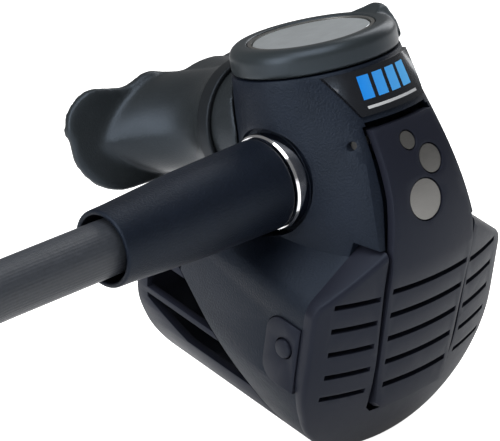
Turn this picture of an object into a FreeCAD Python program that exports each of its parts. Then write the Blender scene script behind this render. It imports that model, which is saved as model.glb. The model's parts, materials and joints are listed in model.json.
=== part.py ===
"""Second stage of a scuba regulator on its low-pressure hose.

Millimetres. +Z is up along the air knob's axis, +Y points at the diver, and the hose leaves towards -X.
The case stands on the floor at Z = 0. It is built round the knob's axis, and written with the origin
on the floor under the middle of everything but the hose, which puts the knob's axis at (knob_x, knob_y).
The diaphragm's seam leans back by the tilt angle: on it, u runs along +X, w up the seam and n forwards.
"""

import FreeCAD, Part
import math
import os

import Sketcher
from FreeCAD import Placement, Rotation, Vector

# ---------------------------------------------------------------- driving dimensions

DIMENSIONS = {
    # where the axes lie
    "knob_x": 18.8,  # the knob's axis, from the origin
    "knob_y": -17.2,
    "axis_height": 68.8,  # the hose axis above the floor
    "seam_forward": 14.0,  # the seam's origin, in front of the knob axis
    "seam_drop": 28.0,  # and below the hose axis
    "tilt": 25.0,  # degrees that the seam leans back
    "outlet_rise": 8.5,  # the mouthpiece axis above the hose axis
    # the bell-shaped lower case and its cover
    "flank": 30.2,  # half width of the bell
    "flank_top": 2.5,
    "flank_low": -22.0,
    "neck_half": 13.5,  # half width where the bell meets the head
    "neck_top": 15.0,
    "heel_half": 23.5,
    "heel": -39.0,
    "keel": -44.2,  # the lowest line of the bell
    "wall": 2.2,
    "case_depth": 40.0,
    "cover_crown": 9.4,
    "crown_radius": 75.0,
    "foot_radius": 70.0,  # how the cover's dome falls away to its foot
    "foot_start": -12.0,
    "chamber_radius": 24.3,
    "diaphragm_radius": 25.5,
    "diaphragm_drop": 12.0,  # its centre, below the seam's origin
    # the head
    "head_top": 22.9,  # above the hose axis
    "head_bore": 16.5,
    # the purge panel
    "panel_wall": 2.2,
    "panel_gap": 1.0,
    "pin_forward": 21.2,
    "pin_rise": 6.8,
    "pin_radius": 1.0,
    # the knob
    "knob_radius": 19.4,
    "disc_radius": 13.7,
    # the valve
    "barrel_radius": 7.5,
    "barrel_bore": 5.0,
    "stem_radius": 2.0,
    # the exhaust
    "exhaust_y": 19.6,
    "exhaust_drop": 33.8,  # the middle of the exhaust wall, below the hose axis
    "exhaust_radius": 12.0,
    # the mouthpiece
    "outlet_half_width": 15.0,
    "outlet_half_height": 11.0,
    "outlet_end": 25.0,
    "shield_radius": 97.0,
    "shield_y": 47.4,
    "shield_half_width": 32.4,
    # the hose
    "hose_radius": 6.35,
    "sleeve_radius": 10.8,
    "sleeve_end_radius": 8.9,
    "sleeve_bore": 7.8,
    "sleeve_start": 22.4,
    "sleeve_end": 71.0,
    "ferrule_radius": 7.6,
    "ferrule_end": 56.0,
    "coil_radius": 70.0,
    "thread_radius": 4.76,  # of the first-stage end, a 3/8-24 thread
}


class Size:
    """A length that carries its value and the spreadsheet expression that gives it."""

    def __init__(self, text, value):
        self.text = text
        self.value = value

    def joined(self, sign, other, value):
        return Size(f"({self.text} {sign} {text_of(other)})", value)

    def __add__(self, other):
        return self.joined("+", other, self.value + value_of(other))

    def __sub__(self, other):
        return self.joined("-", other, self.value - value_of(other))

    def __mul__(self, other):
        return self.joined("*", other, self.value * value_of(other))

    def __truediv__(self, other):
        return self.joined("/", other, self.value / value_of(other))

    def __radd__(self, other):
        return Size(f"({text_of(other)} + {self.text})", value_of(other) + self.value)

    def __rsub__(self, other):
        return Size(f"({text_of(other)} - {self.text})", value_of(other) - self.value)

    def __neg__(self):
        return Size(f"(-1 * {self.text})", -self.value)


def value_of(length):
    return length.value if isinstance(length, Size) else length


def text_of(length):
    return length.text if isinstance(length, Size) else repr(length)


class Sheet:
    """The driving dimensions, as attributes bound to the document's spreadsheet."""

    def __init__(self, document, dimensions):
        cells = document.addObject("Spreadsheet::Sheet", "Sizes")
        for row, (alias, value) in enumerate(dimensions.items(), start=1):
            cells.set(f"A{row}", alias)
            cells.set(f"B{row}", str(value))
            cells.setAlias(f"B{row}", alias)
            setattr(self, alias, Size(f"Sizes.{alias}", value))


doc = FreeCAD.newDocument("RegulatorSecondStage")
d = Sheet(doc, DIMENSIONS)
doc.recompute()

# ---------------------------------------------------------------- places

LIFT = d.axis_height
EXHAUST_Z = d.axis_height - d.exhaust_drop
TILT = d.tilt.value
SIN = math.sin(math.radians(TILT))
COS = math.cos(math.radians(TILT))

UP = Rotation()
TO_DIVER = Rotation(Vector(1, 0, 0), -90)  # local Z along +Y, local Y down
FORWARDS = Rotation(Vector(1, 0, 0), 90)  # local Z along -Y
TO_RIGHT = Rotation(Vector(0, 1, 0), 90)  # local Z along +X
TO_HOSE = Rotation(Vector(0, 1, 0), -90)  # local Z along -X
SEAM = Rotation(Vector(1, 0, 0), 90 + TILT)  # local X, Y, Z along u, w, n
EXHAUST = Rotation(Vector(1, 0, 0), -90 - TILT)  # local Z out of the exhaust wall
SIDE = Rotation(Vector(1, 1, 1), 120)  # local X, Y, Z along +Y, +Z, +X


def around(radius, angle):
    """A point on a circle about the origin, the angle in degrees."""
    return radius * math.cos(math.radians(angle)), radius * math.sin(math.radians(angle))


def hexagon(across_flats, first=0.0):
    return [around(across_flats / math.sqrt(3), first + 60 * k) for k in range(6)]


def seam_point(u, w, n):
    """The place of (u, w, n), in the part's own frame."""
    y = -d.seam_forward.value - SIN * w - COS * n
    z = (d.axis_height - d.seam_drop).value + COS * w - SIN * n
    return (u, y, z)


# ---------------------------------------------------------------- building blocks


class Via:
    """A point that an outline's arc passes through on its way to the next corner."""

    def __init__(self, x, y):
        self.x = x
        self.y = y


def add(kind, label):
    thing = doc.addObject(kind, label)
    thing.Label = label
    return thing


def bind(thing, name, length):
    setattr(thing, name, value_of(length))
    if isinstance(length, Size):
        thing.setExpression(name, length.text)


def place(thing, at=(0, 0, 0), turn=UP):
    thing.Placement = Placement(Vector(*[value_of(v) for v in at]), turn)
    for axis, length in zip("xyz", at):
        if isinstance(length, Size):
            thing.setExpression(f"Placement.Base.{axis}", length.text)
    return thing


def cylinder(label, radius, height, at=(0, 0, 0), turn=UP):
    thing = add("Part::Cylinder", label)
    bind(thing, "Radius", radius)
    bind(thing, "Height", height)
    return place(thing, at, turn)


def torus(label, radius, thickness, at=(0, 0, 0), turn=UP):
    thing = add("Part::Torus", label)
    bind(thing, "Radius1", radius)
    bind(thing, "Radius2", thickness)
    return place(thing, at, turn)


def box(label, sides, at=(0, 0, 0), turn=UP):
    """A box centred on its own X and Y, standing on its own Z = 0."""
    wide, deep, high = sides
    thing = add("Part::Box", label)
    bind(thing, "Length", wide)
    bind(thing, "Width", deep)
    bind(thing, "Height", high)
    back = turn.multVec(Vector(-value_of(wide) / 2, -value_of(deep) / 2, 0))
    thing.Placement = Placement(Vector(*[value_of(v) for v in at]) + back, turn)
    return thing


def draw(sketch, outline):
    """Draws a closed outline of corners, with a Via before the corner that an arc runs to."""
    corners = [item for item in outline if not isinstance(item, Via)]
    flat = [Vector(value_of(x), value_of(y), 0) for x, y in corners]
    edges = []
    bend = None
    k = -1
    for item in outline + [outline[0]]:
        if isinstance(item, Via):
            bend = Vector(value_of(item.x), value_of(item.y), 0)
            continue
        if k >= 0:
            start = flat[k]
            end = flat[(k + 1) % len(flat)]
            arc = Part.Arc(start, bend, end) if bend else Part.LineSegment(start, end)
            edges.append((sketch.addGeometry(arc, False), start, end))
        bend = None
        k += 1
    for k, (edge, start, end) in enumerate(edges):
        following, after, _ = edges[(k + 1) % len(edges)]
        here = end_of(sketch, edge, end)
        there = end_of(sketch, following, after)
        sketch.addConstraint(Sketcher.Constraint("Coincident", edge, here, following, there))
    for (edge, start, _), corner in zip(edges, corners):
        pin_down(sketch, edge, end_of(sketch, edge, start), corner)
    return sketch


def end_of(sketch, edge, point):
    """Which end of an edge lies at a point, because an arc may be stored from its far end."""
    return 1 if (sketch.getPoint(edge, 1) - point).Length < 1e-6 else 2


def pin_down(sketch, edge, end, corner):
    for kind, length in zip(("DistanceX", "DistanceY"), corner):
        constraint = Sketcher.Constraint(kind, -1, 1, edge, end, value_of(length))
        index = sketch.addConstraint(constraint)
        if isinstance(length, Size):
            sketch.setExpression(f"Constraints[{index}]", length.text)


def body_sketch(body, role, outline):
    sketch = body.newObject("Sketcher::SketchObject", body.Label + "_outline")
    plane = [f for f in body.Origin.OriginFeatures if f.Role == role][0]
    sketch.AttachmentSupport = (plane, [""])
    sketch.MapMode = "FlatFace"
    return draw(sketch, outline)


def prism(label, outline, length, at=(0, 0, 0), turn=UP):
    """An outline in the body's own XY plane, padded along its own +Z."""
    body = add("PartDesign::Body", label)
    sketch = body_sketch(body, "XY_Plane", outline)
    pad = body.newObject("PartDesign::Pad", label + "_pad")
    pad.Profile = sketch
    bind(pad, "Length", length)
    sketch.Visibility = False
    return place(body, at, turn)


def turned(label, outline, at=(0, 0, 0), turn=UP, angle=360):
    """An outline of (radius, height) corners, revolved about the body's own Z axis."""
    body = add("PartDesign::Body", label)
    sketch = body_sketch(body, "XZ_Plane", outline)
    revolution = body.newObject("PartDesign::Revolution", label + "_turn")
    revolution.Profile = sketch
    revolution.ReferenceAxis = (sketch, ["V_Axis"])
    revolution.Angle = angle
    return place(body, at, turn)


def section(label, outline, at, turn):
    sketch = add("Sketcher::SketchObject", label)
    draw(sketch, outline)
    return place(sketch, at, turn)


def loft(label, sections):
    thing = add("Part::Loft", label)
    thing.Sections = sections
    thing.Solid = True
    return thing


def fuse(label, *shapes):
    thing = add("Part::MultiFuse", label)
    thing.Shapes = list(shapes)
    thing.Refine = True
    return thing


def cut(label, base, *tools):
    tool = tools[0] if len(tools) == 1 else fuse(label + " cutters", *tools)
    thing = add("Part::Cut", label)
    thing.Base = base
    thing.Tool = tool
    return thing


def common(label, *shapes):
    thing = add("Part::MultiCommon", label)
    thing.Shapes = list(shapes)
    return thing


def rounded(label, base, radius, chosen):
    """Rounds the edges of a shape that the test picks."""
    doc.recompute()
    edges = [k for k, edge in enumerate(base.Shape.Edges, start=1) if chosen(edge)]
    thing = add("Part::Fillet", label)
    thing.Base = base
    thing.Edges = [(k, value_of(radius), value_of(radius)) for k in edges]
    return thing


def pipe(label, path, radius, at, turn):
    """A round tube swept along a path object, from a circle at its start."""
    ring = add("Part::Circle", label + " ring")
    bind(ring, "Radius", radius)
    place(ring, at, turn)
    thing = add("Part::Sweep", label)
    thing.Sections = [ring]
    thing.Spine = (path, ["Edge1"])
    thing.Solid = True
    thing.Frenet = True
    return thing


def coil_spring(label, radius, wire, pitch, height, at, turn=UP):
    helix = add("Part::Helix", label + " line")
    bind(helix, "Radius", radius)
    bind(helix, "Pitch", pitch)
    bind(helix, "Height", height)
    place(helix, at, turn)
    start = Vector(*[value_of(v) for v in at]) + turn.multVec(Vector(value_of(radius), 0, 0))
    ring_turn = turn.multiply(Rotation(Vector(1, 0, 0), 90))
    return pipe(label, helix, wire, tuple(start), ring_turn)


# ---------------------------------------------------------------- shared outlines


def bell_outline(inset=0.0):
    """The bell, seen along the seam's normal: sloping shoulders, upright flanks and a round keel."""
    return [
        (-(d.neck_half - inset), d.neck_top - inset),
        (-(d.flank - inset), d.flank_top - inset * 0.7),
        (-(d.flank - inset), d.flank_low),
        (-(d.heel_half - inset), d.heel + inset),
        Via(0, d.keel + inset),
        (d.heel_half - inset, d.heel + inset),
        (d.flank - inset, d.flank_low),
        (d.flank - inset, d.flank_top - inset * 0.7),
        (d.neck_half - inset, d.neck_top - inset),
    ]


def seam_coordinates(point):
    """The u, w and n of a point, the reverse of seam_point."""
    y = point.y + d.seam_forward.value
    z = point.z - (LIFT - d.seam_drop).value
    return point.x, z * COS - y * SIN, -y * COS - z * SIN


def along_seam_normal(edge):
    line = edge.Curve
    if not isinstance(line, Part.Line):
        return False
    return abs(line.Direction.dot(Vector(0, COS, SIN))) > 0.999


BELL_ROUNDING = {1: 5.0, 2: 34.0, 3: 20.0}  # corner of the outline: its radius


def bell(label, front, back, inset=0.0):
    """The bell from one distance behind the seam to another, with its long edges rounded."""
    outline = bell_outline(inset)
    body = prism(label + " block", outline, front - back, seam_point(0, 0, back), SEAM)
    for corner, radius in BELL_ROUNDING.items():
        half, height = [value_of(length) for length in outline[corner]]

        def at_corner(edge):
            if not along_seam_normal(edge):
                return False
            u, w, _ = seam_coordinates(edge.Vertexes[0].Point)
            return abs(abs(u) - abs(half)) < 0.01 and abs(w - height) < 0.01

        last = corner == max(BELL_ROUNDING)
        body = rounded(label if last else f"{label} corner {corner}", body, radius - inset, at_corner)
    return body


def panel_front(outset=0.0):
    """The purge panel, seen from the front: (half width, height) down one side."""
    low = LIFT - 57.0 - outset
    top = d.axis_height + 9.4 + outset
    side = [(9.3, top), (10.7, LIFT - 6), (12.9, LIFT - 18), (12.9, LIFT - 27), (12.0, LIFT - 48)]
    foot = [(11.2, low + 1.5), (9.6, low)]
    return [(x + outset, z) for x, z in side + foot]


def panel_block(label, outset, y_front, y_back):
    half = panel_front(outset)
    outline = [(-x, -z) for x, z in half] + [(x, -z) for x, z in reversed(half)]
    return prism(label, outline, y_back - y_front, (0, y_front, 0), TO_DIVER)


def panel_band(label, front, back):
    """A sheet that follows the panel's face, between two depths behind it, crowned across its width."""
    sections = []
    for k, (x, drop) in enumerate(((-15.5, 1.6), (0.0, 0.0), (15.5, 1.6))):
        near = panel_profile(front + drop)
        far = panel_profile(back + drop)
        outline = [near[0], near[1], Via(*near[2]), near[3], far[3], Via(*far[2]), far[1], far[0]]
        sections.append(section(f"{label} section {k}", outline, (x, 0, 0), SIDE))
    return loft(label, sections)


def panel_profile(depth):
    """(y, z) of the panel's face at a depth: its foot, the start, middle and end of its upper bend."""
    foot = seam_point(0, -37.0, 8.8 - depth)[1:]
    bend = seam_point(0, 10.0, 10.2 - depth)[1:]
    return [foot, bend, (-29.6 + depth, LIFT.value - 8.0), (-24.6 + depth, LIFT.value + 10.4)]


def panel_cutter(label, outset, front, back):
    """The panel's own form, grown by the gap around it, between two depths."""
    block = panel_block(label + " block", outset, -45.0, 0.0)
    return common(label, block, panel_band(label + " band", front, back))


def oval(half_width, half_height, fullness=0.75):
    wide, high = half_width * fullness, half_height * fullness
    return [
        (half_width, 0.0),
        Via(wide, high),
        (0.0, half_height),
        Via(-wide, high),
        (-half_width, 0.0),
        Via(-wide, -high),
        (0.0, -half_height),
        Via(wide, -high),
    ]


def outlet_prism(label, half_width, half_height, start, end):
    at = (0, start, LIFT + d.outlet_rise)
    return prism(label, oval(half_width, half_height), end - start, at, TO_DIVER)


def outlet_section(label, half_width, half_height, y):
    return section(label, oval(half_width, half_height), (0, y, LIFT + d.outlet_rise), TO_DIVER)


HEAD_PLANS = (
    # height above the hose axis, front half width, its depth, crown, back radius
    (22.9, 13.7, 14.0, 19.6, 19.6),
    (12.0, 11.5, 21.3, 24.2, 20.6),
    (0.0, 13.0, 24.6, 27.8, 21.4),
    (-16.0, 15.0, 25.9, 28.0, 22.0),
    (-26.0, 15.0, 25.9, 28.0, 22.0),
)


def head(label, outset=0.0):
    """The upright head of the case, lofted through plan sections."""
    sections = []
    for k, (rise, half, depth, crown, back) in enumerate(HEAD_PLANS):
        half, depth, crown, back = half + outset, depth + outset, crown + outset, back + outset
        side = math.sqrt(back**2 - 16.0)
        bulge = ((half + side) / 2 * 1.045, -(depth + 4.0) / 2 * 1.045)
        outline = [
            (-half, -depth),
            Via(0, -crown),
            (half, -depth),
            Via(*bulge),
            (side, -4.0),
            Via(0, back),
            (-side, -4.0),
            Via(-bulge[0], bulge[1]),
        ]
        sections.append(section(f"{label} plan {k}", outline, (0, 0, LIFT + rise), UP))
    return loft(label, sections)


def behind_exhaust(label, offset):
    """Everything on the outer side of the exhaust wall's plane, moved out by an offset."""
    at = (0, d.exhaust_y + COS * offset, EXHAUST_Z - SIN * offset)
    return box(label, (110, 130, 70), at, EXHAUST)


SEAM_SIDE = SEAM.multiply(Rotation(Vector(0, 1, 0), -90))  # local X, Y, Z along n, w, -u
CENTRE = -d.diaphragm_drop.value  # the diaphragm's centre, as w
SLOT_ROWS = [4.8 - 6.6 * k for k in range(5)]
LOBE_ROWS = [3.2 - 6.35 * k for k in range(5)]
BUTTON_AT = (-4.6, -11.0)  # n and w of the release button


def latch_outline(gap=0.0):
    front, back = -0.3 + gap, -10.6 - gap
    low, high = -21.3 - gap, -4.0 + gap
    return [
        (front, high),
        (front, low),
        (back + 4.5, low),
        Via(back + 1.3, low + 1.3),
        (back, low + 4.5),
        (back, high - 4.5),
        Via(back + 1.3, high - 1.3),
        (back + 4.5, high),
    ]


# ---------------------------------------------------------------- shell pieces


def exhaust_ports():
    """A ring port under the exhaust valve, crossed by three spokes round a hub."""
    at = (0, d.exhaust_y - COS * 5.0, EXHAUST_Z + SIN * 5.0)
    ring = cylinder("port ring", 9.6, 6.5, at, EXHAUST)
    hub = cylinder("port hub", 3.0, 6.5, at, EXHAUST)
    spokes = [
        box(f"port spoke {k}", (22, 1.8, 6.5), at, EXHAUST.multiply(Rotation(Vector(0, 0, 1), 60 * k)))
        for k in range(3)
    ]
    stem = cylinder("port stem hole", 1.6, 6.5, at, EXHAUST)
    return cut("ports", ring, hub, *spokes), stem


def main_case():
    depth = d.case_depth
    shell = cut(
        "case bell",
        bell("case bell form", 0.0, -depth.value),
        behind_exhaust("case bell trim", 0.0),
    )
    cover_room = box("cover room", (90, 75, 40), seam_point(0, 15.1 - 37.5, 0), SEAM)
    outer = fuse(
        "case outside",
        cut("case head", head("case head form"), cover_room),
        shell,
        outlet_prism("case outlet", d.outlet_half_width, d.outlet_half_height, 0.0, d.outlet_end),
    )
    chamber = cut(
        "chamber bell",
        bell("chamber bell form", -5.0, -depth.value + d.wall.value, d.wall.value),
        behind_exhaust("chamber trim", -2.4),
    )
    ports, stem_hole = exhaust_ports()
    tools = [
        chamber,
        cylinder("chamber mouth", d.chamber_radius, 8.0, seam_point(0, CENTRE, -7.0), SEAM),
        cylinder("diaphragm seat", d.diaphragm_radius + 0.3, 6.0, seam_point(0, CENTRE, -3.2), SEAM),
        cylinder("head bore", d.head_bore, 39.0, (0, 0, LIFT - 20)),
        outlet_prism("outlet bore", d.outlet_half_width - 2.4, d.outlet_half_height - 2.4, 0.0, 30.0),
        cylinder("inlet bore", 7.3, 40.0, (0, 0, LIFT), TO_HOSE),
        cylinder("inlet seal seat", 8.9, 20.0, (-16.2, 0, LIFT), TO_HOSE),
        cylinder("inlet recess", 12.4, 20.0, (-18.0, 0, LIFT), TO_HOSE),
        cylinder("plug bore", 7.3, 40.0, (0, 0, LIFT), TO_RIGHT),
        cylinder("plug seal seat", 8.9, 20.0, (16.9, 0, LIFT), TO_RIGHT),
        cylinder("plug recess", 10.6, 20.0, (18.5, 0, LIFT), TO_RIGHT),
        cylinder("knob hole", 4.06, 10.0, (0, 0, LIFT + 16)),
        cylinder("knob seal seat", 5.8, 5.0, (0, 0, LIFT + 21)),
        panel_cutter("panel channel", d.panel_gap.value, -4.0, 5.4),
        box("lug pocket", (19, 8.4, 9), (0, -d.pin_forward.value - 0.6, LIFT + 2.2)),
        cylinder("pin hole", d.pin_radius + 0.05, 60.0, (-30, -d.pin_forward, LIFT + d.pin_rise), TO_RIGHT),
        prism("latch pocket", latch_outline(0.15), 6.0, seam_point(-29.0, 0, 0), SEAM_SIDE),
        cylinder("button hole", 2.6, 6.0, seam_point(-26.4, BUTTON_AT[1], BUTTON_AT[0]), SEAM_SIDE),
        ports,
        stem_hole,
    ]
    return cut("main_case", outer, *tools)


DOME_LOW, DOME_MIDDLE = [(math.cos(math.radians(a)), math.sin(math.radians(a))) for a in (45.0, 22.5)]


def domed(label, inset, body):
    """A body cut to the cover's dome, turned about an axis up the seam, that falls to its foot."""
    centre = d.cover_crown.value - d.crown_radius.value
    top, bend = d.crown_radius - inset, d.foot_radius - inset
    middle = d.crown_radius - d.foot_radius
    foot = d.foot_start - bend * DOME_LOW[1]
    outline = [
        (0, 50.0), (0, foot), (middle + bend * DOME_LOW[0], foot),
        Via(middle + bend * DOME_MIDDLE[0], d.foot_start - bend * DOME_MIDDLE[1]),
        (top, d.foot_start), (top, 50.0),
    ]
    ends = SEAM.multiply(Rotation(Vector(1, 0, 0), -90))
    return common(label, body, turned(label + " dome", outline, seam_point(0, 0, centre), ends))


def front_cover():
    wall = d.wall.value
    outer = domed("cover form", 0.0, bell("cover bell", 14.0, 0.0))

    def crown_rim(edge):
        ahead = min(seam_coordinates(corner.Point)[2] for corner in edge.Vertexes)
        return ahead > 0.5 and not along_seam_normal(edge)

    outer = rounded("cover outside", outer, 1.5, crown_rim)
    inner = domed("cover hollow", wall, bell("cover hollow bell", 13.0, -1.0, wall))
    floor = domed("cover floor", 0.5, bell("cover floor bell", 1.7, 0.5, 1.0))
    frame_room = domed("cover frame room", wall, bell("cover frame bell", 13.0, 0.5, wall))
    frame = common("cover frame", panel_block("cover frame block", 2.1, -45.0, 20.0), frame_room)
    tools = [
        panel_cutter("cover opening", d.panel_gap.value, -4.0, 7.6),
        cylinder("presser hole", 7.0, 8.0, seam_point(0, CENTRE, -0.5), SEAM),
        box("cover top room", (60, 20, 30), seam_point(0, 25.0, -2.0), SEAM),
    ]
    for k, w in enumerate(LOBE_ROWS):
        for side in (-1, 1):
            at = seam_point(side * 20.2, w, 2.5)
            tools.append(box(f"lobe slot {k} {side}", (11.5, 1.4, 12), at, SEAM))
    for k, turn in enumerate(range(30, 360, 60)):
        u, w = around(15.0, turn)
        tools.append(cylinder(f"water hole {k}", 3.2, 3.0, seam_point(u, CENTRE + w, -0.5), SEAM))
    shell = cut("cover shell", outer, inner)
    return cut("front_cover", fuse("cover whole", shell, frame, floor), *tools)


def exhaust_deflector():
    """A thin scoop in line with the bell's keel, open at both sides, with a rib across each window."""
    deep = 56.0
    profile = [(2, -46), (-37, -46), (-37, -42), Via(-48.5, -36.5), (-54, -22), (-54, -7), (2, -7)]
    inside = [(4, -60), (4, -39.8), (-36.5, -39.8), Via(-46.9, -34.9), (-51.8, -22), (-51.8, -9.2), (4, -9.2)]

    def scoop(label, outline):
        return prism(label, outline, 80.0, seam_point(40, 0, 0), SEAM_SIDE)

    outer = common("scoop outside", bell("scoop bell", -1.0, -deep), scoop("scoop profile", profile))
    hollow = common(
        "scoop hollow",
        bell("scoop hollow bell", 2.0, -deep - 2, 2.0),
        scoop("scoop hollow profile", inside[1:]),
    )
    window_low = [(-15.0, -29.6), (-38.0, -29.6), (-50.5, -23.0), (-50.5, -21.6), (-15.0, -21.6)]
    window_high = [(-15.0, -20.0), (-50.5, -20.0), (-50.5, -11.0), (-15.0, -11.0)]
    case_side = cut(
        "case side of the scoop",
        box("scoop trim block", (110, 130, 70), seam_point(0, -20, -60), SEAM),
        behind_exhaust("scoop trim", 0.25),
    )
    above = box("scoop top trim", (60, 40, 40), (0, 7.0, LIFT - 26))
    return cut(
        "exhaust_deflector",
        outer,
        hollow,
        scoop("window low", window_low),
        scoop("window high", window_high),
        case_side,
        above,
    )


def purge_panel():
    plate = panel_cutter("panel plate", 0.0, 0.0, d.panel_wall.value)
    presser = cylinder("presser", 4.5, 10.6, seam_point(0, CENTRE, -1.7), SEAM)
    pin_at = (-d.pin_forward, LIFT + d.pin_rise)
    y, z = [value_of(length) for length in pin_at]
    eye = 2.6
    low, high = y - 4.5, y - 2.3
    lug = [(low, z - eye), (y, z - eye), Via(y + eye, z), (y, z + eye), (high, z + eye)]
    lugs = [prism(f"lug {x}", lug, 2.0, (x, 0, 0), SIDE) for x in (-8.0, 6.0)]
    tools = [
        cylinder("panel pin hole", d.pin_radius + 0.05, 40.0, (-20, *pin_at), TO_RIGHT),
        cylinder("spring relief", 2.1, 11.8, (-5.9, *pin_at), TO_RIGHT),
        common("emblem recess", emblem_discs("emblem recess", 0.35), panel_band("recess band", -1.0, 1.15)),
    ]
    for k, w in enumerate(SLOT_ROWS):
        length = 24.0 - 0.9 * k
        tools.append(box(f"panel slot {k}", (length, 1.5, 10), seam_point(0, w, 4.0), SEAM))
    return cut("purge_panel", fuse("panel whole", plate, presser, *lugs), *tools)


EMBLEM = ((-1.6, -8.6, 4.6), (3.0, -0.4, 3.2), (-1.4, 5.0, 2.0))  # x, height above the hose axis, radius


def emblem_discs(label, gap):
    """Three rising bubbles, as rods that point forwards."""
    rods = [
        cylinder(f"{label} rod {k}", radius + gap, 20.0, (x, -18.0, LIFT + rise), FORWARDS)
        for k, (x, rise, radius) in enumerate(EMBLEM)
    ]
    return fuse(label + " rods", *rods)


def panel_emblem():
    return common("panel_emblem", emblem_discs("emblem", 0.0), panel_band("emblem band", 0.3, 1.1))


def badge_plate():
    outline = [(-13.2, -(LIFT + 22.3)), (13.2, -(LIFT + 22.3)), (9.8, -(LIFT + 12.6)), (-9.8, -(LIFT + 12.6))]
    slab = prism("badge slab", outline, 30.0, (0, -38, 0), TO_DIVER)
    skin = common("badge skin", head("badge face", 0.7), slab)
    return cut("badge_plate", skin, head("badge back", 0.02))


def latch_plate():
    plate = prism("latch form", latch_outline(), 1.6, seam_point(-29.0, 0, 0), SEAM_SIDE)
    hole = cylinder("latch hole", 2.6, 5.0, seam_point(-28.0, BUTTON_AT[1], BUTTON_AT[0]), SEAM_SIDE)
    return cut("latch_plate", plate, hole)


def release_button():
    at = seam_point(-28.2, BUTTON_AT[1], BUTTON_AT[0])
    return cylinder("release_button", 2.3, 3.0, at, SEAM_SIDE)


def button_spring():
    at = seam_point(-26.75, BUTTON_AT[1], BUTTON_AT[0])
    return coil_spring("button_spring", 1.7, 0.2, 0.7, 1.05, at, SEAM_SIDE)


# ---------------------------------------------------------------- knob


def knob_base():
    return LIFT + d.head_top + 0.6


RIDGE_AT = -10.0  # degrees round the knob from +X to the peak of its finger ridge


def finger_ridge(base):
    """A crest on the knob's edge that rises steeply on one side and falls away slowly on the other."""
    outer = [(15.6, 2.0), (19.2, 0.0), (20.3, 0.6), (20.5, 3.5), (19.9, 7.2)]
    inner = [Via(19.0, 7.6), (18.0, 7.1), (15.6, 5.6)]
    start = Rotation(Vector(0, 0, 1), RIDGE_AT - 40)
    crest = turned("ridge ring", outer + inner, (0, 0, base), start, 90)
    outward = Rotation(Vector(0, 0, 1), RIDGE_AT).multiply(SIDE)  # local X, Y, Z round, up and out
    steep_side = [(-9.6, -0.5), (-8.2, 1.6), (-2.4, 6.9)]
    slow_side = [Via(0.0, 7.6), (3.6, 6.9), (10.9, 4.4), (15.5, 2.0), (15.5, -0.5)]
    roof = steep_side + slow_side
    return common("finger ridge", crest, prism("ridge roof", roof, 24.0, (0, 0, base), outward))


def knob_bezel():
    radius = d.knob_radius
    base = knob_base()
    skirt = [(4.2, 0.0), (17.5, 0.0), (18.0, -0.3), (radius - 0.5, -0.3), (radius, 0.2), (radius, 3.4)]
    shoulder = [Via(18.7, 5.0), (16.2, 5.9), (14.95, 5.9), (14.95, 3.4)]
    web = [(3.5, 3.4), (3.5, 2.1), (1.5, 2.1), (1.5, 1.3), (4.2, 1.3)]
    rim = turned("bezel rim", skirt + shoulder + web, (0, 0, base))
    return fuse("knob_bezel", rim, finger_ridge(base))


def knob_ring():
    return turned("knob_ring", [(13.95, 3.5), (14.75, 3.5), (14.75, 5.6), (13.95, 5.6)], (0, 0, knob_base()))


def knob_disc():
    outline = [(0, 3.5), (d.disc_radius, 3.5), (d.disc_radius, 5.0), (d.disc_radius - 0.3, 5.35), (0, 5.35)]
    return turned("knob_disc", outline, (0, 0, knob_base()))


def air_vane():
    """The knob's stem, its carrier disc, and the curved vane that stands in the outlet's way."""
    stem = cylinder("vane stem", 4.0, 6.2, (0, 0, LIFT + 18.5))
    carrier = cylinder("vane carrier", 15.4, 1.6, (0, 0, LIFT + 16.9))
    vane = turned("vane", [(13.9, 8.4), (15.4, 8.4), (15.4, 17.2), (13.9, 17.2)], (0, 0, LIFT), UP, 70)
    vane.Placement = Placement(Vector(0, 0, LIFT.value), Rotation(Vector(0, 0, 1), 10))
    hole = cylinder("vane screw hole", 1.3, 12.0, (0, 0, LIFT + 21))
    return cut("air_vane", fuse("vane whole", stem, carrier, vane), hole)


def knob_screw():
    thread = [(0, -4.5), (1.28, -4.5), (1.28, 0)]
    screw_head = [(3.2, 0), (3.2, 0.8), (2.8, 1.2), (0.9, 1.2), (0.9, 0.5), (0, 0.5)]
    return turned("knob_screw", thread + screw_head, (0, 0, knob_base() + 2.12))


def knob_oring():
    return torus("knob_oring", 4.92, 0.85, (0, 0, LIFT + 21.9))


# ---------------------------------------------------------------- valve


def valve_barrel():
    low, high = -20.0, 14.0
    tube = cylinder("barrel tube", d.barrel_radius, high - low, (0, 0, LIFT + low))
    cross = cylinder("barrel cross", 7.0, 34.0, (-17, 0, LIFT), TO_RIGHT)
    bore = cylinder("barrel bore", d.barrel_bore, high - low - 2, (0, 0, LIFT + low + 2))
    cross_bore = cylinder("barrel cross bore", 4.2, 30.0, (-20, 0, LIFT), TO_RIGHT)
    stem_hole = cylinder("barrel stem hole", d.stem_radius + 0.3, 5.0, (0, 0, LIFT + low - 1))
    vents = cylinder("barrel vents", 1.6, 20.0, (0, 10.0, LIFT - 15.0), FORWARDS)
    return cut("valve_barrel", fuse("barrel outside", tube, cross), bore, cross_bore, stem_hole, vents)


def orifice_seat():
    outline = [(1.5, -10.0), (2.1, -10.0), (2.6, -9.0), (4.96, -9.0), (4.96, -6.0), (1.5, -6.0)]
    return turned("orifice_seat", outline, (0, 0, LIFT))


def seat_seal():
    return cylinder("seat_seal", 3.4, 0.9, (0, 0, LIFT - 11.0))


def poppet():
    stem = [(0, -27.0), (d.stem_radius, -27.0), (d.stem_radius, -13.2)]
    cup = [(4.6, -13.2), (4.6, -11.0), (0, -11.0)]
    return turned("poppet", stem + cup, (0, 0, LIFT))


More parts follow.
